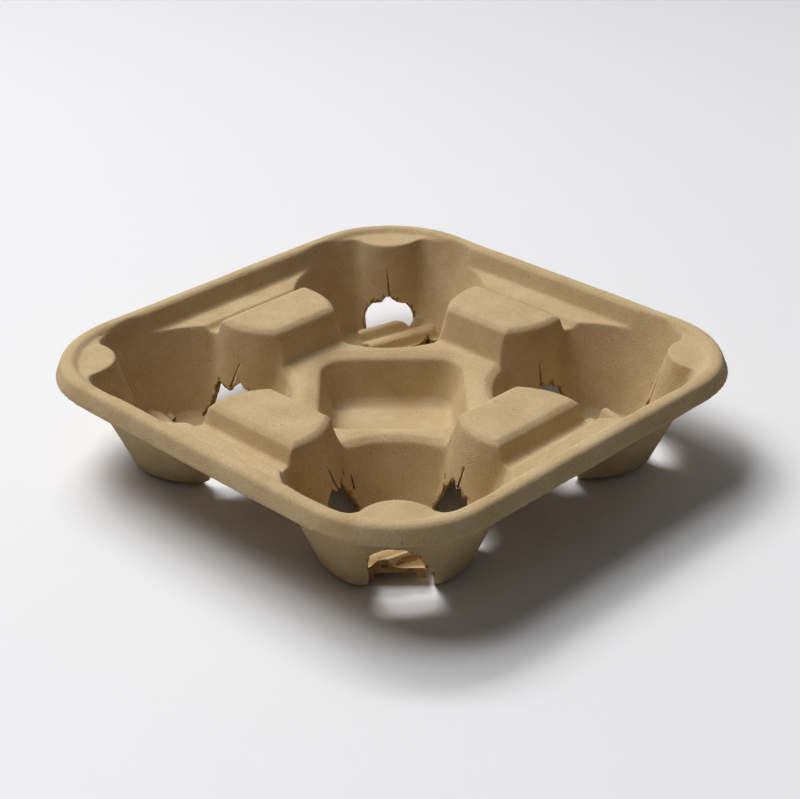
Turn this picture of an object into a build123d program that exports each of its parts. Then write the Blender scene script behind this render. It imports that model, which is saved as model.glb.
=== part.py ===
from build123d import *

import os
from math import cos, hypot, radians, sin, sqrt

# Four-cup carrier moulded in one piece from paper pulp.
# Millimetres, +Z up. The origin is on the ground under the middle of the tray.
# The tray is the space between its top surface and the same surface made one wall lower,
# so each function below takes a skin: 0 for the top surface, the wall for the lower one.

wall = 2.2

# Rim
side = 215.0  # across the lip, from side to side
corner_radius = 44.5
rim_height = 45.0
lip_depth = 7.0  # how far the turned-down lip reaches below the rim's top
lip_flare = 2.0  # how much further out the lip's lower edge is than its top
rim_width = 9.0  # from the lip's lower edge in to the rim's inner side, at the ledge's height
rim_edge = 2.0  # height and width of the sloping edge round the rim's top
bead_edge = 1.0  # the same on the rim's inner side
ledge_depth = 2.0  # from the rim's top down to the flat crescent inside it at each corner

# Cup wells
foot_radius = 28.3  # outside of a well where it meets the ground
well_slope = 0.43  # sideways run of a well's wall for each mm of height
well_rounding = 5.0
foot_edge = 1.8  # height and width of the slope round a well's floor
well_bite = 0.8  # how far a well's round wall cuts into the rim's straight inner side

# Bulge of each well's wall towards the cup, under the corner ledge
bulge_reach = 32.7  # from the well's axis to the bulge, at the ledge's height
bulge_radius = 16.0
bulge_slope = 0.30

# Shelf and groove between the rim and a tower
shelf_depth = 8.2  # from the rim's top
shelf_width = 10.8
step_run = 2.0
groove_depth = 2.3  # from the shelf
groove_width = 4.0
groove_rounding = 1.2

# Towers between neighbouring wells
tower_depth = 2.5  # from the rim's top down to a tower's top
tower_width = 25.5
tower_inner_slope = 0.33
tower_outer_slope = 0.40
tower_edge = 1.8
tower_end_reach = 31.0  # from a well's axis to a tower's end, at its top
tower_end_radius = 30.0
tower_end_inset = 5.8  # from a tower's outer edge in to the middle of its round end
tower_end_slope = 0.25

# Saddle and middle well
saddle_depth = 16.8  # from the rim's top
saddle_width = 9.1  # between a cup well and the middle well, where they are nearest
saddle_edge = 2.2
middle_slope = 0.32
middle_depth = 18.5  # from the saddle
middle_top_rounding = 13.7
middle_low_rounding = 10.0
middle_floor_edge = 1.6

# Raised end of each well's floor, which meets the torn opening at the corner
ramp_start = 8.0  # from the well's axis
ramp_end = 24.0
ramp_height = 8.5
ramp_width = 21.0
rib_height = 1.8
rib_slope = 0.25  # sideways run of a rib's sides for each mm of height
rib_places = (13.0, 20.5)  # from the well's axis
rib_turn = 25.0  # degrees away from square to the diagonal

# Torn openings: half width at the ground, height, and the top of the slit above
corner_tear = (10.0, 18.0, 32.0)
wide_tear = (9.5, 17.0, 26.0)
narrow_tear = (7.0, 19.0, 27.0)
slit_width = 0.9
tear_start = 18.5  # from the well's axis
tear_reach = 20.0
end_tear_place = 6.3  # from the well's axis, sideways to the tear at a tower's end
# Ragged edge on each side of the slit, as shares of the half width and of the height
ragged_left = ((-1, 0.45), (-0.85, 0.85), (-0.3, 0.9))
ragged_right = ((0.5, 0.85), (0.7, 0.65), (1, 0.4))

# Heights above the ground
lip_low = rim_height - lip_depth
ledge_height = rim_height - ledge_depth
tower_height = rim_height - tower_depth
shelf_height = rim_height - shelf_depth
groove_height = shelf_height - groove_depth
saddle_height = rim_height - saddle_depth
middle_floor = saddle_height - middle_depth
above = rim_height + wall  # where the cutting shapes end, clear of the rim
below = -8 * wall  # where the solids under the surface end, clear of the ground

# Places along X and Y, from the tray's middle out
rim_inner = side / 2 - rim_width
well_centre = rim_inner + well_bite - (foot_radius - wall + well_slope * ledge_height)
shelf_outer = rim_inner - well_slope * (ledge_height - shelf_height)
step_foot = shelf_outer - shelf_width - step_run
outer_foot = step_foot - groove_width
tower_outer = outer_foot - tower_outer_slope * (tower_height - groove_height)
tower_inner = tower_outer - tower_width
inner_foot = tower_inner - tower_inner_slope * (tower_height - saddle_height)
well_at_saddle = foot_radius - wall + well_slope * saddle_height
middle_half = well_centre * sqrt(2) - well_at_saddle - saddle_width
middle_reach = sqrt(2) * middle_half - (sqrt(2) - 1) * middle_low_rounding  # along X and Y, at the saddle

close = 0.02
upright = (Align.CENTER, Align.CENTER, Align.MIN)


def flat_edges(part, height):
    """The edges of a part that lie at one height."""
    return part.edges().filter_by(
        lambda edge: all(abs((edge @ t).Z - height) < close for t in (0, 0.5, 1))
    )


def off_axis(edge):
    """How far the middle of an edge is from the tray's own axis."""
    middle = edge @ 0.5
    return hypot(middle.X, middle.Y)


def corner_distance(edge):
    """How far the middle of an edge is from the nearer diagonal, along X or Y."""
    middle = edge @ 0.5
    return abs(abs(middle.X) - abs(middle.Y))


def rim_block(skin):
    """Everything under the rim's top surface, without wells, grooves or middle."""
    half = side / 2 - skin
    outer_corner = corner_radius - skin
    inner_corner = corner_radius - rim_width
    top = (ledge_height if skin else rim_height) - skin
    levels = (
        (below, 0),
        (lip_low, 0),
        (top - rim_edge, lip_flare),
        (top - rim_edge / 4, lip_flare + rim_edge / 4),
        (top, lip_flare + rim_edge),
    )
    with BuildPart() as block:
        for low, high in zip(levels, levels[1:]):
            for height, inset in (low, high):
                with BuildSketch(Plane.XY.offset(height)):
                    RectangleRounded(2 * (half - inset), 2 * (half - inset), outer_corner - inset)
            loft(ruled=True)
        if not skin:
            recess = ((ledge_height, 0), (rim_height - bead_edge, 0), (rim_height, bead_edge))
            for low, high in zip(recess, recess[1:]):
                for height, flare in (low, high):
                    reach = rim_inner + well_slope * (height - ledge_height) + flare
                    with BuildSketch(Plane.XY.offset(height)):
                        RectangleRounded(2 * reach, 2 * reach, inner_corner + flare)
                loft(ruled=True, mode=Mode.SUBTRACT)
    return block.part


def side_cut(skin):
    """What is cut away above the strip between two wells, from a tower's inner foot to the rim."""
    top_out = rim_inner + well_slope * (above - ledge_height)
    with BuildPart() as cut:
        with BuildSketch(Plane.XZ.offset(-well_centre)) as section:
            with BuildLine():
                Polyline(
                    (inner_foot, saddle_height),
                    (tower_inner, tower_height),
                    (tower_outer, tower_height),
                    (outer_foot, groove_height),
                    (step_foot, groove_height),
                    (step_foot + step_run, shelf_height),
                    (shelf_outer, shelf_height),
                    (top_out, above),
                    (inner_foot, above),
                    close=True,
                )
            make_face()
            if skin:
                offset(amount=skin, kind=Kind.INTERSECTION)
            in_groove = section.vertices().filter_by(
                lambda v: tower_outer < v.X < rim_inner and v.Z < shelf_height
            )
            fillet(in_groove, groove_rounding)
        extrude(amount=2 * well_centre)
    return cut.part


def middle_cut(skin):
    """The inside of the middle well, a rounded square turned so that its sides face the cups."""
    floor = middle_floor - skin
    low_side = 2 * (middle_half - middle_slope * (saddle_height - floor) + skin)
    top_side = 2 * (middle_half + middle_slope * (above - saddle_height) + skin)
    low_corner = min(middle_low_rounding + skin, low_side / 3)
    top_corner = min(middle_top_rounding + skin, top_side / 3)
    with BuildPart() as middle:
        with BuildSketch(Plane.XY.offset(floor)):
            RectangleRounded(low_side, low_side, low_corner, rotation=45)
        with BuildSketch(Plane.XY.offset(above)):
            RectangleRounded(top_side, top_side, top_corner, rotation=45)
        loft(ruled=True)
        chamfer(middle.faces().sort_by(Axis.Z)[0].edges(), middle_floor_edge + skin / 2)
    return middle.part


def floor_ramp(skin):
    """The raised end of a well's floor, along +X from the well's axis, with its two ribs."""
    half = ramp_width / 2 - skin
    slope = (ramp_height - wall) / (ramp_end - ramp_start)
    turn = radians(rib_turn)
    across = (-sin(turn), cos(turn), 0)
    back = (-cos(turn), -sin(turn), 0)
    with BuildPart() as ramp:
        with BuildSketch(Plane.XZ.offset(-half)):
            with BuildLine():
                Polyline(
                    (ramp_start, below),
                    (ramp_start, wall - skin),
                    (ramp_end, ramp_height - skin),
                    (ramp_end, below),
                    close=True,
                )
            make_face()
        extrude(amount=2 * half)
        for out in rib_places:
            crest = wall + slope * (out - ramp_start) + rib_height - skin
            run = rib_slope * (crest - below)
            with BuildSketch(Plane(origin=(out, 0, 0), z_dir=across, x_dir=back).offset(-half)):
                with BuildLine():
                    Polyline((-run, below), (0, crest), (run, below), close=True)
                make_face()
            extrude(amount=2 * half)
        with Locations((ramp_end, 0, 0)):
            Box(side, side, side, align=(Align.MIN, Align.CENTER, Align.CENTER), mode=Mode.SUBTRACT)
    return ramp.part


def well_outline(height, skin, inset=0):
    """The outline of a well at one height, round its axis, with the corner bulge towards +X."""
    radius = foot_radius - wall + well_slope * height + skin - inset
    end_radius = tower_end_radius + tower_end_slope * (tower_height - height) - skin + inset
    low_radius = bulge_radius + bulge_slope * (ledge_height - height) - skin + inset
    end_out = tower_outer - tower_end_inset - well_centre
    end_along = tower_end_reach + tower_end_radius
    toward_corner = (end_out - end_along) / sqrt(2)
    sideways = (end_out + end_along) / sqrt(2)
    with BuildSketch(Plane.XY.offset(height)) as outline:
        Circle(radius)
        with Locations((toward_corner, sideways), (toward_corner, -sideways)):
            Circle(end_radius, mode=Mode.SUBTRACT)
        with Locations((bulge_reach + bulge_radius, 0)):
            Circle(low_radius, mode=Mode.SUBTRACT)
        fillet(outline.vertices(), well_rounding + skin)
    return outline.sketch


def well_cut(skin, ramp):
    """The inside of one cup well, with a sloping edge round its floor."""
    floor = wall - skin
    edge = foot_edge + skin / 2
    low = well_outline(floor, skin, edge)
    middle = well_outline(floor + edge, skin)
    high = well_outline(above, skin)
    with BuildPart() as well:
        add(loft((low, middle), ruled=True, mode=Mode.PRIVATE))
        add(loft((middle, high), ruled=True, mode=Mode.PRIVATE))
        add(ramp, mode=Mode.SUBTRACT)
    return well.part


def under_surface(skin):
    """The solid under the top surface, or with skin one wall thinner all over."""
    block = rim_block(skin)
    strip = side_cut(skin)
    middle = middle_cut(skin)
    well = well_cut(skin, floor_ramp(skin))
    edge = min(saddle_edge, (inner_foot - middle_reach) / 2)
    with BuildPart() as body:
        add(block)
        with Locations((0, 0, saddle_height - skin)):
            Box(2 * inner_foot, 2 * inner_foot, above, align=upright, mode=Mode.SUBTRACT)
        with PolarLocations(0, 4):
            add(strip, mode=Mode.SUBTRACT)
        add(middle, mode=Mode.SUBTRACT)
        if not skin:
            middle_edges = flat_edges(body, saddle_height)
            chamfer(middle_edges.filter_by(lambda e: off_axis(e) < inner_foot - close), edge)
        with PolarLocations(well_centre * sqrt(2), 4, start_angle=45, rotate=True):
            add(well, mode=Mode.SUBTRACT)
        if not skin:
            on_diagonal = flat_edges(body, saddle_height).filter_by(lambda e: corner_distance(e) < close)
            well_edges = on_diagonal.filter_by(lambda e: off_axis(e) > middle_half + edge + close)
            chamfer(well_edges, edge)
            chamfer(flat_edges(body, tower_height), tower_edge)
    return body.part


def tear_cut(size, turn, aside):
    """What is missing at a torn opening, pushed outwards at an angle from the well's axis."""
    half, height, slit_top = size
    left = [(share * half, rise * height) for share, rise in ragged_left]
    right = [(share * half, rise * height) for share, rise in ragged_right]
    outward = (cos(radians(turn)), sin(radians(turn)), 0)
    across = (-outward[1], outward[0], 0)
    start = tuple(tear_start * o + aside * a for o, a in zip(outward, across))
    slit = slit_width / 2
    with BuildPart() as tear:
        with BuildSketch(Plane(origin=start, z_dir=outward, x_dir=across)):
            with BuildLine():
                Polyline(
                    (-half, below),
                    *left,
                    (-slit, height),
                    (-slit, slit_top),
                    (slit, slit_top),
                    (slit, height),
                    *right,
                    (half, below),
                    close=True,
                )
            make_face()
        extrude(amount=tear_reach)
    return tear.part


def main():
    os.makedirs("parts", exist_ok=True)
    inner = side - 2 * wall
    outer_solid = under_surface(0)
    inner_solid = under_surface(wall)
    corner = tear_cut(corner_tear, 0, 0)
    wide_end = tear_cut(wide_tear, 135, -end_tear_place)
    narrow_end = tear_cut(narrow_tear, 225, end_tear_place)
    ramp = floor_ramp(0)
    with BuildPart() as missing:
        add(corner)
        add(ramp, mode=Mode.SUBTRACT)
        add(wide_end)
        add(narrow_end)
    with BuildPart() as cup_carrier:
        add(outer_solid)
        add(inner_solid, mode=Mode.SUBTRACT)
        with BuildSketch(Plane.XY.offset(below)):
            Rectangle(2 * side, 2 * side)
        extrude(amount=-below, mode=Mode.SUBTRACT)
        with BuildSketch(Plane.XY):
            Rectangle(2 * side, 2 * side)
            RectangleRounded(inner, inner, corner_radius - wall, mode=Mode.SUBTRACT)
        extrude(amount=lip_low, mode=Mode.SUBTRACT)
        with PolarLocations(well_centre * sqrt(2), 4, start_angle=45, rotate=True):
            add(missing.part, mode=Mode.SUBTRACT)
    cup_carrier.part.label = "cup_carrier"
    export_step(cup_carrier.part, "parts/cup_carrier.step")


main()
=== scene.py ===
import math
import bmesh
import bpy
from mathutils import Matrix, Vector, kdtree, noise


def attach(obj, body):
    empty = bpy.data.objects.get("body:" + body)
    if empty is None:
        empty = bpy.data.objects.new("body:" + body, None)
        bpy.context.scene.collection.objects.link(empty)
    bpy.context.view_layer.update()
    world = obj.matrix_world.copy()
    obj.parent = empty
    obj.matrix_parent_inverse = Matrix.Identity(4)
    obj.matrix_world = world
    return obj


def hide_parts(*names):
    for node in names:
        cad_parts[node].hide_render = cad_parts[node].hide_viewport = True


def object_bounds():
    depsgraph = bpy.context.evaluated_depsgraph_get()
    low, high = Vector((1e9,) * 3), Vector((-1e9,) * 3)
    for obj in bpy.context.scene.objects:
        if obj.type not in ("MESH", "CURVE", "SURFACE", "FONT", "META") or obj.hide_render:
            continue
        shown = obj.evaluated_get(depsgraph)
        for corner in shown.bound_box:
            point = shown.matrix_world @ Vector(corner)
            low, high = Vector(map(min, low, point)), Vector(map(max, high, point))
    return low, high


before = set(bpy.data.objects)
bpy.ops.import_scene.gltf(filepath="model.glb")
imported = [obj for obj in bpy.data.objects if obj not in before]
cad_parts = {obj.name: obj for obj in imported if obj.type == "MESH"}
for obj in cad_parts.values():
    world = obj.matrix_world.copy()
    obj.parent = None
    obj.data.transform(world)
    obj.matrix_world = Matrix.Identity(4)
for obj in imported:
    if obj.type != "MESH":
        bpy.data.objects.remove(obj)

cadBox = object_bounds()
zAxis = Vector((0, 0, 1))


def toLinear(hexColour, alpha=1.0):
    parts = [int(hexColour.lstrip("#")[i:i + 2], 16) / 255 for i in (0, 2, 4)]
    return tuple(p / 12.92 if p <= 0.04045 else ((p + 0.055) / 1.055) ** 2.4 for p in parts) + (alpha,)


# Inputs and links are named by their socket, or numbered where a node's sockets share a name.
def addNode(tree, kind, settings=None, inputs=None, links=None):
    node = tree.nodes.new(kind)
    for name, value in (settings or {}).items():
        setattr(node, name, value)
    for name, value in (inputs or {}).items():
        node.inputs[name].default_value = value
    for name, source in (links or {}).items():
        tree.links.new(source, node.inputs[name])
    return node


def newMaterial(name):
    material = bpy.data.materials.new(name)
    material.use_nodes = True
    material.node_tree.nodes.clear()
    return material, material.node_tree


def addObject(name, data):
    made = bpy.data.objects.new(name, data)
    bpy.context.scene.collection.objects.link(made)
    return made


def applyModifiers(piece):
    bpy.context.view_layer.update()
    finished = bpy.data.meshes.new_from_object(piece.evaluated_get(bpy.context.evaluated_depsgraph_get()))
    piece.modifiers.clear()
    piece.data = finished


pulpLook = {
    "fibre": "#CAB086",      # unbleached recycled pulp
    "fibrePale": "#D1BA93",
    "fibreDark": "#C2A67A",
    "speckDark": "#6A5238",
    "speckEveryMm": 7.0,
    "roughness": 0.95,
    "mottleMm": 14.0,
    "grainMm": 0.65,         # coarser than one fibre, so that it shows
    "bumpMm": 0.22,
}

tornLook = {
    "fibre": "#A5804F",      # the inside of the wall, rougher and warmer than its pressed skin
    "fibrePale": "#C4A473",
    "fibreDark": "#7E5C34",
    "speckDark": "#6A5238",
    "speckEveryMm": 7.0,
    "roughness": 1.0,
    "mottleMm": 2.5,
    "grainMm": 0.6,
    "bumpMm": 0.3,
}


# Moulded paper pulp: a matt felt of short fibres, warm brown, faintly mottled where the slurry
# settled unevenly, with a few dark specks. Torn pulp shows the coarser inside of the same felt.
def makePulp(name, look):
    material, tree = newMaterial(name)
    place = addNode(tree, "ShaderNodeTexCoord").outputs["Object"]
    mottle = addNode(tree, "ShaderNodeTexNoise", inputs={
        "Scale": 1000 / look["mottleMm"], "Detail": 5.0, "Roughness": 0.6}, links={"Vector": place})
    grain = addNode(tree, "ShaderNodeTexNoise", inputs={
        "Scale": 1000 / look["grainMm"], "Detail": 3.0, "Roughness": 0.65}, links={"Vector": place})

    tone = addNode(tree, "ShaderNodeValToRGB", links={"Fac": mottle.outputs["Fac"]})
    tones = tone.color_ramp.elements
    tones.new(0.5)
    for stop, at, shade in zip(tones, (0.28, 0.50, 0.74), ("fibreDark", "fibre", "fibrePale")):
        stop.position = at
        stop.color = toLinear(look[shade])

    grainTone = addNode(tree, "ShaderNodeMapRange", inputs={
        "From Min": 0.3, "From Max": 0.7, "To Min": 0.82, "To Max": 1.12},
        links={"Value": grain.outputs["Fac"]})
    grained = addNode(tree, "ShaderNodeMix", {"data_type": "RGBA", "blend_type": "MULTIPLY"},
                      {"Factor": 1.0}, {"A": tone.outputs["Color"], "B": grainTone.outputs["Result"]})

    speck = addNode(tree, "ShaderNodeTexVoronoi", {"feature": "F1"}, {
        "Scale": 1000 / look["speckEveryMm"], "Randomness": 1.0}, {"Vector": place})
    speckMask = addNode(tree, "ShaderNodeMapRange", inputs={
        "From Min": 0.035, "From Max": 0.06, "To Min": 0.75, "To Max": 0.0},
        links={"Value": speck.outputs["Distance"]})
    specked = addNode(tree, "ShaderNodeMix", {"data_type": "RGBA"}, {"B": toLinear(look["speckDark"])},
                      {"Factor": speckMask.outputs["Result"], "A": grained.outputs["Result"]})

    bump = addNode(tree, "ShaderNodeBump", inputs={"Strength": 1.0, "Distance": look["bumpMm"] / 1000},
                   links={"Height": grain.outputs["Fac"]})
    shader = addNode(tree, "ShaderNodeBsdfPrincipled", inputs={
        "Roughness": look["roughness"], "IOR": 1.45, "Specular IOR Level": 0.25},
        links={"Base Color": specked.outputs["Result"], "Normal": bump.outputs["Normal"]})
    addNode(tree, "ShaderNodeOutputMaterial", links={"Surface": shader.outputs["BSDF"]})
    return material


# The lifted end of each well's floor, pressed with ribs, in metres and radians. The names are the
# tree's inputs. Width runs across the ribs, Length along them.
ribbedFloor = {
    "Width": 0.0170,
    "Length": 0.0340,
    "Rise": 0.0046,          # from its low side to its high side
    "Rib Height": 0.0034,
    "Rib Spacing": 0.0095,
    "First Rib": -0.0040,    # where a rib is highest, from the low side
    "Thickness": 0.0020,
    "Low Edge": 0.0036,      # height of its low side's top
    "Turn": math.radians(31.7),
    "Well Distance": 0.07737,
    "Side Shift": -0.0102,
}


# A ribbed plate made by a rule and set in all four wells, ready to be felted into the tray.
def ribbedFloorTree(material):
    tree = bpy.data.node_groups.new("ribbedFloor", "GeometryNodeTree")
    tree.is_modifier = True
    for name, value in ribbedFloor.items():
        socket = tree.interface.new_socket(name, in_out="INPUT", socket_type="NodeSocketFloat")
        socket.default_value = value
    tree.interface.new_socket("Geometry", in_out="OUTPUT", socket_type="NodeSocketGeometry")
    sizes = addNode(tree, "NodeGroupInput").outputs
    maths, vector = "ShaderNodeMath", "ShaderNodeCombineXYZ"

    # How far along the row of ribs each point lies, in ribs
    grid = addNode(tree, "GeometryNodeMeshGrid", inputs={"Vertices X": 40, "Vertices Y": 50},
                   links={"Size X": sizes["Width"], "Size Y": sizes["Length"]})
    position = addNode(tree, "GeometryNodeInputPosition").outputs[0]
    place = addNode(tree, "ShaderNodeSeparateXYZ", links={"Vector": position})
    half = addNode(tree, maths, {"operation": "MULTIPLY"}, {1: 0.5}, {0: sizes["Width"]})
    across = addNode(tree, maths, {"operation": "ADD"}, links={0: place.outputs["X"], 1: half.outputs[0]})
    fromRib = addNode(tree, maths, {"operation": "SUBTRACT"},
                      links={0: across.outputs[0], 1: sizes["First Rib"]})
    phase = addNode(tree, maths, {"operation": "DIVIDE"},
                    links={0: fromRib.outputs[0], 1: sizes["Rib Spacing"]})

    # Each rib falls slowly and rises steeply
    part = addNode(tree, maths, {"operation": "FRACT"}, links={0: phase.outputs[0]})
    leaning = addNode(tree, maths, {"operation": "POWER"}, {1: 2.0}, {0: part.outputs[0]})
    angle = addNode(tree, maths, {"operation": "MULTIPLY"}, {1: 2 * math.pi}, {0: leaning.outputs[0]})
    cosine = addNode(tree, maths, {"operation": "COSINE"}, links={0: angle.outputs[0]})
    halved = addNode(tree, maths, {"operation": "MULTIPLY"}, {1: 0.5}, {0: cosine.outputs[0]})
    wave = addNode(tree, maths, {"operation": "ADD"}, {1: 0.5}, {0: halved.outputs[0]})
    ribs = addNode(tree, maths, {"operation": "MULTIPLY"},
                   links={0: wave.outputs[0], 1: sizes["Rib Height"]})

    # The plate climbs from its low side, and gets its thickness
    share = addNode(tree, maths, {"operation": "DIVIDE"}, links={0: across.outputs[0], 1: sizes["Width"]})
    slope = addNode(tree, maths, {"operation": "MULTIPLY"}, links={0: share.outputs[0], 1: sizes["Rise"]})
    relief = addNode(tree, maths, {"operation": "ADD"}, links={0: ribs.outputs[0], 1: slope.outputs[0]})
    height = addNode(tree, maths, {"operation": "ADD"}, links={0: relief.outputs[0], 1: sizes["Low Edge"]})
    lift = addNode(tree, vector, links={"Z": height.outputs[0]})
    plate = addNode(tree, "GeometryNodeSetPosition",
                    links={"Geometry": grid.outputs["Mesh"], "Offset": lift.outputs[0]})
    below = addNode(tree, maths, {"operation": "MULTIPLY"}, {1: -1.0}, {0: sizes["Thickness"]})
    down = addNode(tree, vector, links={"Z": below.outputs[0]})
    thick = addNode(tree, "GeometryNodeExtrudeMesh", {"mode": "FACES"}, {"Individual": False},
                    {"Mesh": plate.outputs["Geometry"], "Offset": down.outputs[0]})
    lid = addNode(tree, "GeometryNodeFlipFaces", links={"Mesh": plate.outputs["Geometry"]})
    joined = addNode(tree, "GeometryNodeJoinGeometry")
    tree.links.new(thick.outputs["Mesh"], joined.inputs[0])
    tree.links.new(lid.outputs["Mesh"], joined.inputs[0])
    closed = addNode(tree, "GeometryNodeMergeByDistance", inputs={"Distance": 1e-6},
                     links={"Geometry": joined.outputs[0]})

    # One plate is turned into the far well's place, and four of them stand round the tray's middle
    aside = addNode(tree, vector, links={"X": half.outputs[0], "Y": sizes["Side Shift"]})
    shifted = addNode(tree, "GeometryNodeTransform",
                      links={"Geometry": closed.outputs[0], "Translation": aside.outputs[0]})
    outward = addNode(tree, vector, links={"X": sizes["Well Distance"]})
    turn = addNode(tree, vector, links={"Z": sizes["Turn"]})
    turned = addNode(tree, "GeometryNodeTransform", links={
        "Geometry": shifted.outputs[0], "Translation": outward.outputs[0], "Rotation": turn.outputs[0]})
    points = addNode(tree, "GeometryNodePoints", inputs={"Count": 4})
    index = addNode(tree, "GeometryNodeInputIndex").outputs[0]
    eighth = addNode(tree, maths, {"operation": "ADD"}, {1: 0.5}, {0: index})
    quarter = addNode(tree, maths, {"operation": "MULTIPLY"}, {1: math.pi / 2}, {0: eighth.outputs[0]})
    spin = addNode(tree, vector, links={"Z": quarter.outputs[0]})
    placed = addNode(tree, "GeometryNodeInstanceOnPoints", links={
        "Points": points.outputs[0], "Instance": turned.outputs[0], "Rotation": spin.outputs[0]})
    real = addNode(tree, "GeometryNodeRealizeInstances", links={"Geometry": placed.outputs[0]})
    finished = addNode(tree, "GeometryNodeSetMaterial", inputs={"Material": material},
                       links={"Geometry": real.outputs[0]})
    addNode(tree, "NodeGroupOutput", links={"Geometry": finished.outputs[0]})
    return tree


def buildRibbedFloors(material):
    floors = addObject("ribbedFloors", bpy.data.meshes.new("ribbedFloors"))
    tree = ribbedFloorTree(material)
    ribs = floors.modifiers.new("ribs", "NODES")
    ribs.node_group = tree
    for socket in tree.interface.items_tree:
        if socket.in_out == "INPUT":
            ribs[socket.identifier] = ribbedFloor[socket.name]
    applyModifiers(floors)
    print("ribbed floors", len(floors.data.polygons))
    return floors


# The tray is one piece of moulded paper pulp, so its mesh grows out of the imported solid:
# welded, remeshed fine enough to bend, relaxed until every fold has the soft edge of a
# felted fibre mat, and then roughened a little.
pulpShell = {
    "voxelMm": 0.75,         # size of the remesh, about a third of the wall
    "relaxSteps": 3,         # more makes softer folds and rounder edges
    "relaxStrength": 0.5,
    "rimRelaxSteps": 22,     # the rim is rolled rounder than the folds inside it
    "rimBandMm": 7.0,        # how far in from the tray's edge it is rolled
    "rimHeightMm": 39.5,     # and from which height
    "rimSideMm": 215.0,
    "rimCornerMm": 44.5,
    "waveMm": 0.22,          # slow unevenness of the pressed surface
    "waveEveryMm": 22.0,
    "grainMm": 0.05,         # fine lumps of fibre
    "grainEveryMm": 2.6,
    "keepTriangles": 170000,  # about what thinning leaves
    "seed": 7.3,
}


# The node's loose triangles, merged, with the ribbed floors laid in the same mesh.
def startTray(nodeName, pulp):
    piece = addObject("pulpTray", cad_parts[nodeName].data.copy())
    floors = buildRibbedFloors(pulp)
    shape = bmesh.new()
    shape.from_mesh(piece.data)
    bmesh.ops.remove_doubles(shape, verts=shape.verts, dist=1e-6)
    shape.from_mesh(floors.data)
    shape.to_mesh(piece.data)
    shape.free()
    piece.data.materials.clear()
    bpy.data.objects.remove(floors)
    return piece


# Makes one closed skin of the tray and its ribs, and softens every fold.
def felt(piece, sizes):
    remesh = piece.modifiers.new("felt", "REMESH")
    remesh.mode = "VOXEL"
    remesh.voxel_size = sizes["voxelMm"] / 1000
    remesh.use_smooth_shade = True
    relax = piece.modifiers.new("relax", "SMOOTH")
    relax.factor = sizes["relaxStrength"]
    relax.iterations = sizes["relaxSteps"]
    applyModifiers(piece)
    print("remeshed", len(piece.data.polygons))


# How far a point lies outside the tray's rounded square outline, in mm, less than 0 inside.
def edgeDistance(point, sizes):
    straight = sizes["rimSideMm"] / 2 - sizes["rimCornerMm"]
    x, y = abs(point.x) * 1000 - straight, abs(point.y) * 1000 - straight
    return math.hypot(max(x, 0), max(y, 0)) + min(max(x, y), 0) - sizes["rimCornerMm"]


def rollRim(piece, sizes):
    rim = piece.vertex_groups.new(name="rim")
    for vertex in piece.data.vertices:
        rise = vertex.co.z * 1000 - sizes["rimHeightMm"]
        depth = -edgeDistance(vertex.co, sizes)
        if rise > 0 and depth < sizes["rimBandMm"]:
            rim.add([vertex.index], min(1, rise) * min(1, sizes["rimBandMm"] - depth), "REPLACE")
    roll = piece.modifiers.new("rollRim", "SMOOTH")
    roll.factor = sizes["relaxStrength"]
    roll.iterations = sizes["rimRelaxSteps"]
    roll.vertex_group = "rim"
    applyModifiers(piece)
    print("rim rolled")


# Moves each point a little along its normal, and keeps it inside the CAD box.
def roughen(piece, sizes):
    low, high = cadBox
    vertices = piece.data.vertices
    normals = [vertex.normal.copy() for vertex in vertices]  # all read before any point moves
    shift = Vector((sizes["seed"],) * 3)
    moved = []
    for vertex, normal in zip(vertices, normals):
        spot = vertex.co * 1000
        wave = noise.noise(spot / sizes["waveEveryMm"] + shift) * sizes["waveMm"]
        grain = noise.noise(spot / sizes["grainEveryMm"] - shift) * sizes["grainMm"]
        place = vertex.co + normal * ((wave + grain) / 1000)
        moved += [min(max(c, l), h) for c, l, h in zip(place, low, high)]
    vertices.foreach_set("co", moved)
    piece.data.update()
    print("roughened")


def thinOut(piece, sizes):
    triangles = len(piece.data.polygons) * 2
    if triangles > sizes["keepTriangles"]:
        thin = piece.modifiers.new("thin", "DECIMATE")
        thin.ratio = sizes["keepTriangles"] / triangles
        applyModifiers(piece)
    for polygon in piece.data.polygons:
        polygon.use_smooth = True
    print("kept", len(piece.data.polygons))


# Where the pulp is torn, in mm.
tears = {
    "wellAxisMm": 54.71,     # along X and along Y
    "reachMm": 22.0,         # how far a hole's cutter runs outwards
    "jagMm": 0.4,
    "jagEveryMm": 0.9,
    "jagNoise": 0.9,         # noise per mm
    "slitDeepMm": 16.0,
    "slitTaper": 0.8,        # share of a slit's width lost at its tip
    "slitSkew": math.radians(32),  # a slit runs through the wall at a slant, so no light shows in it
    "bareMm": 1.2,           # how far the pressed skin has come off round a hole
    "bareUneven": 0.8,
    "bareNoise": 700,        # noise per metre
    "weldMm": 0.005,
    "scrapPoints": 400,      # an island with fewer points is a scrap
    "seed": 3.1,
}

# Each well by the way from the tray's middle, in degrees, named as the camera sees it
wells = {"far": 45, "left": 135, "near": 225, "right": 315}

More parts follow.
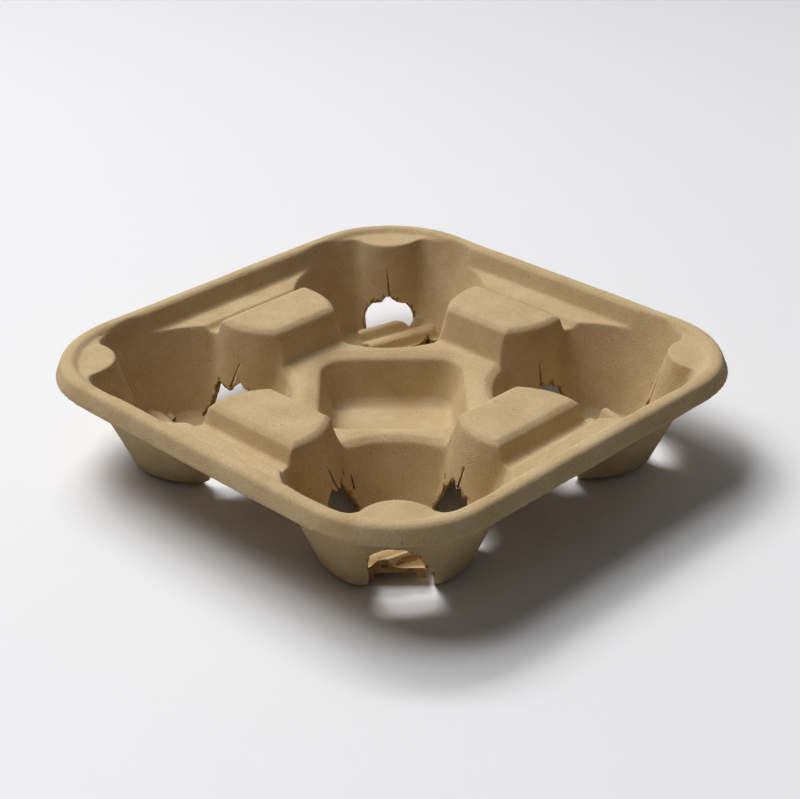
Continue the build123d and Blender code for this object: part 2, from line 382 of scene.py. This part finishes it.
# The tears of a well. turn: the way from the well's axis, where 0 is towards the tray's corner.
# aside: shift across that way. start: how far out the cutter begins. An outline runs across and up,
# and is broken into smaller jags between its points. A slit is a line with a width.
tearKinds = {
    "toCorner": {
        "turn": 0, "aside": 0.0, "start": 21.0,
        "outline": [(10.6, 2.6), (10.8, 12.0), (9.8, 15.2), (7.4, 17.6), (3.2, 18.6), (1.2, 20.9),
                    (-0.4, 20.4), (-3.4, 18.4), (-7.4, 17.4), (-9.6, 14.6), (-10.8, 11.4), (-10.6, 7.5)],
        "slits": [([(0.7, 19.4), (1.0, 24.0), (0.5, 28.0), (0.2, 33.0)], 0.9)],
    },
    "towerWide": {
        "turn": 135, "aside": -6.3, "start": 17.0,
        "outline": [(-9.5, -1.0), (-9.4, 8.0), (-8.2, 14.0), (-5.5, 14.5), (-3.6, 17.5), (-1.0, 15.2),
                    (0.6, 17.4), (3.4, 16.8), (5.4, 13.6), (7.6, 10.6), (9.3, 7.0), (9.4, -1.0)],
        "slits": [([(0.4, 16.4), (-0.4, 20.5), (-1.9, 26.5)], 0.9), ([(-4.0, 16.6), (-4.4, 21.0)], 0.7)],
    },
    "towerNarrow": {
        "turn": 225, "aside": 4.0, "start": 17.0,
        "outline": [(-8.4, -1.0), (-7.6, 8.0), (-5.0, 13.4), (-2.2, 16.2), (-0.5, 18.6), (1.2, 16.0),
                    (3.6, 13.6), (5.4, 10.0), (6.9, 6.0), (7.0, -1.0)],
        "slits": [([(-0.4, 17.6), (-0.2, 22.0), (0.6, 26.0)], 0.9),
                  ([(2.4, 14.0), (4.4, 20.0), (5.6, 27.5)], 1.0)],
    },
}

# Tears that went their own way
ownTears = {
    ("near", "toCorner"): {
        "turn": 0, "aside": 0.0, "start": 21.6,
        "outline": [(13.4, -1.0), (13.2, 6.0), (12.2, 11.0), (8.4, 16.2), (3.6, 18.8), (-4.4, 19.6),
                    (-9.6, 18.8), (-10.6, 12.6), (-10.2, 6.0), (-10.4, -1.0)],
        "slits": [],
    },
    ("near", "towerWide"): {
        "turn": 135, "aside": -6.3, "start": 17.0,
        "outline": [(-11.5, -1.0), (-11.8, 7.0), (-10.2, 12.5), (-7.6, 13.4), (-6.4, 17.8), (-3.6, 17.0),
                    (-2.2, 20.2), (0.4, 18.6), (2.2, 21.4), (5.0, 20.0), (6.6, 16.2), (9.6, 14.8),
                    (11.0, 9.0), (13.2, 5.0), (13.2, -1.0)],
        "slits": [([(-1.6, 19.4), (-3.4, 25.0), (-4.6, 28.5)], 1.0), ([(5.8, 17.0), (7.0, 21.0)], 0.7),
                  ([(-8.6, 12.4), (-11.4, 16.6)], 0.8)],
    },
    ("near", "towerNarrow"): {
        "turn": 225, "aside": 4.0, "start": 17.0,
        "outline": [(-12.0, -1.0), (-11.0, 6.5), (-8.4, 12.5), (-5.4, 16.6), (-3.8, 19.8), (-2.4, 16.4),
                    (0.6, 14.6), (3.6, 11.0), (6.9, 6.0), (7.0, -1.0)],
        "slits": [([(-1.0, 15.0), (2.4, 21.0), (5.5, 28.5)], 1.2), ([(-3.7, 18.8), (-3.2, 22.4)], 0.7),
                  ([(-8.6, 11.8), (-7.6, 18.6)], 0.8)],
    },
    ("left", "towerNarrow"): {
        "turn": 225, "aside": 6.3, "start": 17.0,
        "outline": [(-7.5, -1.0), (-7.2, 12.0), (-5.8, 15.6), (-3.6, 17.2), (-2.0, 15.8), (-0.5, 14.2),
                    (4.5, 15.0), (11.8, 16.8), (13.0, 8.0), (14.4, 1.5), (14.5, -1.0)],
        "slits": [([(4.6, 16.5), (4.2, 21.0), (3.4, 27.0)], 1.1)],
    },
}

# Gaps in the wells' floors, between two heights. An outline lies in plan, out from a well's axis
# towards the tray's corner and across. They overlap, and overlapping cutters would leave an empty
# mesh, so each gap is cut in a turn of its own.
floorGaps = {
    "ribbedEdge": {
        "outline": [(6.2, -9.2), (15.9, -17.4), (12.0, -20.3), (6.0, -22.8), (2.0, -14.0)],
        "low": 2.4, "high": 12.0, "wells": tuple(wells),
    },
    "floorGap": {
        "outline": [(12.5, -11.0), (18.6, -14.8), (16.6, -18.0), (7.0, -17.0)],
        "low": -1.0, "high": 2.3, "wells": tuple(wells),
    },
    "nearFloor": {
        "outline": [(10.0, -10.3), (27.5, -10.3), (27.5, 13.4), (10.0, 13.4)],
        "low": -1.0, "high": 3.1, "wells": ("near",),
    },
}


def raggedOutline(outline, shift):
    points = []
    for (x0, z0), (x1, z1) in zip(outline, outline[1:]):
        length = math.hypot(x1 - x0, z1 - z0)
        parts = max(1, round(length / tears["jagEveryMm"]))
        for part in range(parts):
            share = part / parts
            x, z = x0 + share * (x1 - x0), z0 + share * (z1 - z0)
            jag = noise.noise(Vector((x, z, shift)) * tears["jagNoise"]) * tears["jagMm"] if part else 0.0
            points.append((x + jag * (z1 - z0) / length, z - jag * (x1 - x0) / length))
    return points + [outline[-1]]


def slitOutline(line, width, shift):
    last = len(line) - 1
    left, right = [], []
    for number, (x, z) in enumerate(line):
        half = width / 2 * (1 - tears["slitTaper"] * number / last)
        wander = noise.noise(Vector((x, z, shift))) * tears["jagMm"]
        left.append((x - half + wander, z))
        right.append((x + half + wander, z))
    return left + right[::-1]


def addPrism(shape, near, push):
    first = [shape.verts.new(point) for point in near]
    second = [shape.verts.new(point + push) for point in near]
    shape.faces.new(first)
    shape.faces.new(second)
    for i in range(len(first)):
        j = (i + 1) % len(first)
        shape.faces.new((first[i], first[j], second[j], second[i]))


# The way at an angle in plan, and the way to its left.
def heading(degrees):
    ahead = Vector((math.cos(math.radians(degrees)), math.sin(math.radians(degrees)), 0))
    return ahead, Vector((-ahead.y, ahead.x, 0))


def wellAxis(well):
    return heading(wells[well])[0] * tears["wellAxisMm"] * math.sqrt(2)


# Every tear with its well's axis, the ways out and across, and a shift that makes its jags its own.
def eachTear():
    number = 0
    for well in wells:
        for kind, usual in tearKinds.items():
            number += 1
            tear = ownTears.get((well, kind), usual)
            yield tear, wellAxis(well), *heading(wells[well] + tear["turn"]), number * tears["seed"]


def addHoles(shape):
    for tear, axis, outward, across, shift in eachTear():
        points = raggedOutline(tear["outline"], shift)
        addPrism(shape, [(axis + outward * tear["start"] + across * (tear["aside"] + x) + zAxis * z) / 1000
                         for x, z in points], outward * tears["reachMm"] / 1000)


# The slits at a tower's two ends lean away from each other.
def addSlits(shape):
    deep = tears["slitDeepMm"]
    for tear, axis, outward, across, shift in eachTear():
        middle = tear["start"] + tears["reachMm"] / 3
        slant = outward + across * math.tan(tears["slitSkew"]) * (1 if tear["turn"] < 180 else -1)
        for line, width in tear["slits"]:
            points = slitOutline(line, width, shift)
            addPrism(shape, [(axis + outward * middle + across * (tear["aside"] + x) + zAxis * z
                              - slant * (deep / 2)) / 1000 for x, z in points], slant * (deep / 1000))


def addFloorGap(shape, gap):
    for well in gap["wells"]:
        ahead, sideways = heading(wells[well])
        addPrism(shape, [(wellAxis(well) + ahead * u + sideways * v + zAxis * gap["low"]) / 1000
                         for u, v in gap["outline"]], zAxis * (gap["high"] - gap["low"]) / 1000)


# The torn faces keep the prisms' material, so the ragged edges look like torn pulp.
def tearOpen(piece, torn, name, addPrisms, *gap):
    shape = bmesh.new()
    addPrisms(shape, *gap)
    bmesh.ops.recalc_face_normals(shape, faces=shape.faces)
    mesh = bpy.data.meshes.new("tearPrisms")
    shape.to_mesh(mesh)
    shape.free()
    mesh.materials.append(torn)
    prisms = addObject("tearPrisms", mesh)
    cut = piece.modifiers.new("tear", "BOOLEAN")
    cut.operation = "DIFFERENCE"
    cut.solver = "EXACT"
    cut.material_mode = "TRANSFER"
    cut.object = prisms
    applyModifiers(piece)
    bpy.data.objects.remove(prisms)
    piece.data.validate()
    print("torn", name, len(piece.data.polygons))  # 0 would mean that a cut failed


# Round a hole the pressed skin has come off too.
def bareEdges(piece):
    bare = [polygon.center.copy() for polygon in piece.data.polygons if polygon.material_index]
    tree = kdtree.KDTree(len(bare))
    for number, centre in enumerate(bare):
        tree.insert(centre, number)
    tree.balance()
    for polygon in piece.data.polygons:
        uneven = noise.noise(polygon.center * tears["bareNoise"]) * tears["bareUneven"]
        if tree.find(polygon.center)[2] * 1000 < tears["bareMm"] * (1 + uneven):
            polygon.material_index = 1


def looseScraps(shape):
    waiting = set(shape.verts)
    scraps = []
    while waiting:
        island = [waiting.pop()]
        for vertex in island:
            for edge in vertex.link_edges:
                other = edge.other_vert(vertex)
                if other in waiting:
                    waiting.remove(other)
                    island.append(other)
        if len(island) < tears["scrapPoints"]:
            scraps += island
    return scraps


# Removes what the cuts leave: doubled points, faces with no area, loose scraps and small gaps.
def clearScraps(piece):
    shape = bmesh.new()
    shape.from_mesh(piece.data)
    bmesh.ops.remove_doubles(shape, verts=shape.verts, dist=tears["weldMm"] / 1000)
    bmesh.ops.dissolve_degenerate(shape, edges=shape.edges, dist=tears["weldMm"] / 1000)
    scraps = looseScraps(shape)
    bmesh.ops.delete(shape, geom=scraps, context="VERTS")
    bmesh.ops.holes_fill(shape, edges=[edge for edge in shape.edges if edge.is_boundary], sides=0)
    bmesh.ops.triangulate(shape, faces=[face for face in shape.faces if len(face.verts) > 4])
    shape.to_mesh(piece.data)
    unclosed = sum(not edge.is_manifold for edge in shape.edges)
    shape.free()
    piece.data.validate()
    print("scrap points", len(scraps), "edges not closed", unclosed)


pulp = makePulp("mouldedPaperPulp", pulpLook)
torn = makePulp("tornPaperPulp", tornLook)
tray = startTray("cup_carrier", pulp)
felt(tray, pulpShell)
rollRim(tray, pulpShell)
roughen(tray, pulpShell)
thinOut(tray, pulpShell)
tray.data.materials.clear()
tray.data.materials.append(pulp)
tearOpen(tray, torn, "holes", addHoles)
bareEdges(tray)
tearOpen(tray, torn, "slits", addSlits)
for name, gap in floorGaps.items():
    tearOpen(tray, torn, name, addFloorGap, gap)
clearScraps(tray)
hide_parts("cup_carrier")
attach(tray, "root")
print("tray made")


# The camera was worked out from the photograph: the rim's corners, the towers and the feet.
photoView = {
    "azimuth": 0.772,        # radians, the way the camera looks along the ground
    "elevation": 0.488,
    "distance": 0.740364,
    "roll": -0.003,
    "pan": 0.004,
    "tilt": -0.002,
    "focusPixels": 1841.401,
    "imageWide": 800,
    "sensorMm": 36.0,
    "target": (0.0, 0.0, 0.025),
}


def placeCamera(view):
    az, el = view["azimuth"], view["elevation"]
    target = Vector(view["target"])
    ahead = Vector((math.cos(el) * math.cos(az), math.cos(el) * math.sin(az), -math.sin(el)))
    right = ahead.cross(zAxis).normalized()
    up = right.cross(ahead)
    aim = (ahead + math.tan(view["pan"]) * right + math.tan(view["tilt"]) * up).normalized()
    right = aim.cross(up).normalized()
    up = right.cross(aim)
    c, s = math.cos(view["roll"]), math.sin(view["roll"])
    right, up = c * right + s * up, c * up - s * right
    data = bpy.data.cameras.new("photoCamera")
    data.sensor_width = view["sensorMm"]
    data.lens = view["focusPixels"] / view["imageWide"] * data.sensor_width
    data.clip_start, data.clip_end = 0.02, 20.0
    camera = addObject("photoCamera", data)
    turn = Matrix((right, up, -aim)).transposed()
    camera.matrix_world = Matrix.Translation(target - ahead * view["distance"]) @ turn.to_4x4()
    bpy.context.scene.camera = camera


# Seamless white card, in metres: flat under the tray, then bent up behind it.
card = {
    "shown": "#F2F2F4",
    "thrown": "#C6C5C3",     # throws less light back up than it shows, as a card in a dark room
    "toothPerMetre": 900.0,
    "toothMm": 0.2,
    "reach": 2.4,
    "back": 0.85,            # where it starts to bend
    "bend": 0.5,
    "bendSteps": 16,
    "high": 1.6,
}


# White card: matt paper with a faint tooth.
def makeCard():
    material, tree = newMaterial("whiteCard")
    place = addNode(tree, "ShaderNodeTexCoord").outputs["Object"]
    tooth = addNode(tree, "ShaderNodeTexNoise", inputs={"Scale": card["toothPerMetre"], "Detail": 2.0},
                    links={"Vector": place})
    bump = addNode(tree, "ShaderNodeBump", inputs={"Strength": 0.05, "Distance": card["toothMm"] / 1000},
                   links={"Height": tooth.outputs["Fac"]})
    seen = addNode(tree, "ShaderNodeLightPath").outputs["Is Camera Ray"]
    shade = addNode(tree, "ShaderNodeMix", {"data_type": "RGBA"},
                    {"A": toLinear(card["thrown"]), "B": toLinear(card["shown"])}, {"Factor": seen})
    shader = addNode(tree, "ShaderNodeBsdfPrincipled", inputs={"Roughness": 0.75, "Specular IOR Level": 0.2},
                     links={"Base Color": shade.outputs["Result"], "Normal": bump.outputs["Normal"]})
    addNode(tree, "ShaderNodeOutputMaterial", links={"Surface": shader.outputs["BSDF"]})
    return material


def buildFloor():
    turn = Matrix.Rotation(photoView["azimuth"] - math.pi / 2, 3, "Z")
    profile = [(-card["reach"], 0.0), (card["back"], 0.0)]
    for step in range(1, card["bendSteps"] + 1):
        angle = math.pi / 2 * step / card["bendSteps"]
        profile.append((card["back"] + card["bend"] * math.sin(angle), card["bend"] * (1 - math.cos(angle))))
    profile.append((card["back"] + card["bend"], card["high"]))
    mesh = bpy.data.meshes.new("seamlessCard")
    points = [turn @ Vector((side * card["reach"], y, z)) for side in (-1, 1) for y, z in profile]
    count = len(profile)
    mesh.from_pydata(points, [], [(i, i + count, i + count + 1, i + 1) for i in range(count - 1)])
    for polygon in mesh.polygons:
        polygon.use_smooth = True
    mesh.materials.append(makeCard())
    floor = addObject("seamlessCard", mesh)


# Two square soft boxes, in metres and watts. A place is right, away and up as the camera sees it.
lamps = {
    "backLeft": {"at": (-0.9, 1.9, 2.0), "side": 1.5, "power": 114.0},
    "overLeft": {"at": (-1.3, 0.45, 2.65), "side": 1.5, "power": 50.0},
}
lampAim = (0, 0, 0.02)


def fromView(right, away, up):
    angle = photoView["azimuth"]
    ahead = Vector((math.cos(angle), math.sin(angle), 0))
    side = Vector((math.sin(angle), -math.cos(angle), 0))
    return side * right + ahead * away + zAxis * up


def addLamp(name, lamp):
    light = bpy.data.lights.new(name, "AREA")
    light.shape = "RECTANGLE"
    light.size, light.size_y = lamp["side"], lamp["side"]
    light.energy = lamp["power"]
    place = fromView(*lamp["at"])
    made = addObject(name, light)
    made.location = place
    made.rotation_mode = "QUATERNION"
    made.rotation_quaternion = (Vector(lampAim) - place).to_track_quat("-Z", "Y")


# The room lights the tray faintly, and is pale where the camera sees it.
studio = {
    "colour": "#F4F6FA",
    "lighting": 0.09,
    "seen": 0.8,
}


def makeStudio():
    world = bpy.data.worlds.new("studio")
    world.use_nodes = True
    tree = world.node_tree
    room = tree.nodes["Background"]
    room.inputs["Color"].default_value = toLinear(studio["colour"])
    seen = addNode(tree, "ShaderNodeLightPath").outputs["Is Camera Ray"]
    strength = addNode(tree, "ShaderNodeMapRange", inputs={
        "To Min": studio["lighting"], "To Max": studio["seen"]}, links={"Value": seen})
    tree.links.new(strength.outputs["Result"], room.inputs["Strength"])
    bpy.context.scene.world = world


placeCamera(photoView)
buildFloor()
for name, lamp in lamps.items():
    addLamp(name, lamp)
makeStudio()
bpy.context.scene.view_settings.view_transform = "Standard"
print("lights and camera set")
